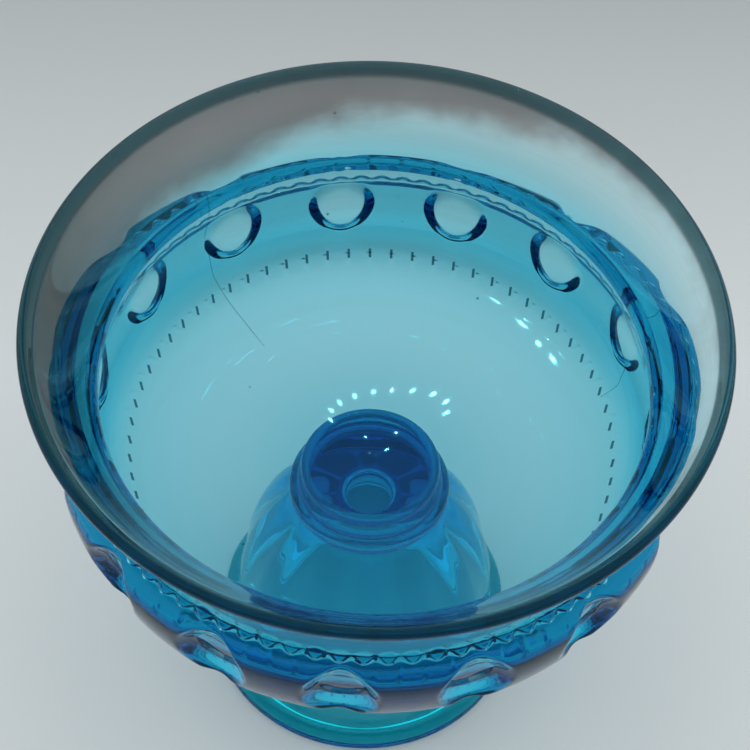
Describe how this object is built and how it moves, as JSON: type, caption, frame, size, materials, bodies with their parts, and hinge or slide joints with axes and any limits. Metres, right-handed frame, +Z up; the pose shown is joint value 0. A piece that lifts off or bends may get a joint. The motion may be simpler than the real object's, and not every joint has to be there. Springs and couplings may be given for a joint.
{
  "type": "footed glass bowl",
  "caption": "Pressed glass footed bowl with a flared collar, a thumbprint band round the shoulder, a ringed knop and a hollow bell foot.",
  "frame": {"origin": "centre of the flat ring under the foot, at table height", "axes": "+Z up along the bowl's axis of turning, from the foot to the rim; +X and +Y level, with one thumbprint centred on +X"},
  "size_m": [0.184, 0.184, 0.143],
  "materials": {
    "bowl_glass": "clear light blue pressed glass with a smoky iridescent collar",
    "stem_glass": "clear deep blue pressed glass with a faint iridescence"
  },
  "bodies": {
    "root": {"bowl": "bowl_glass", "wafer": "stem_glass", "knop": "stem_glass", "foot": "stem_glass"}
  },
  "joints": []
}
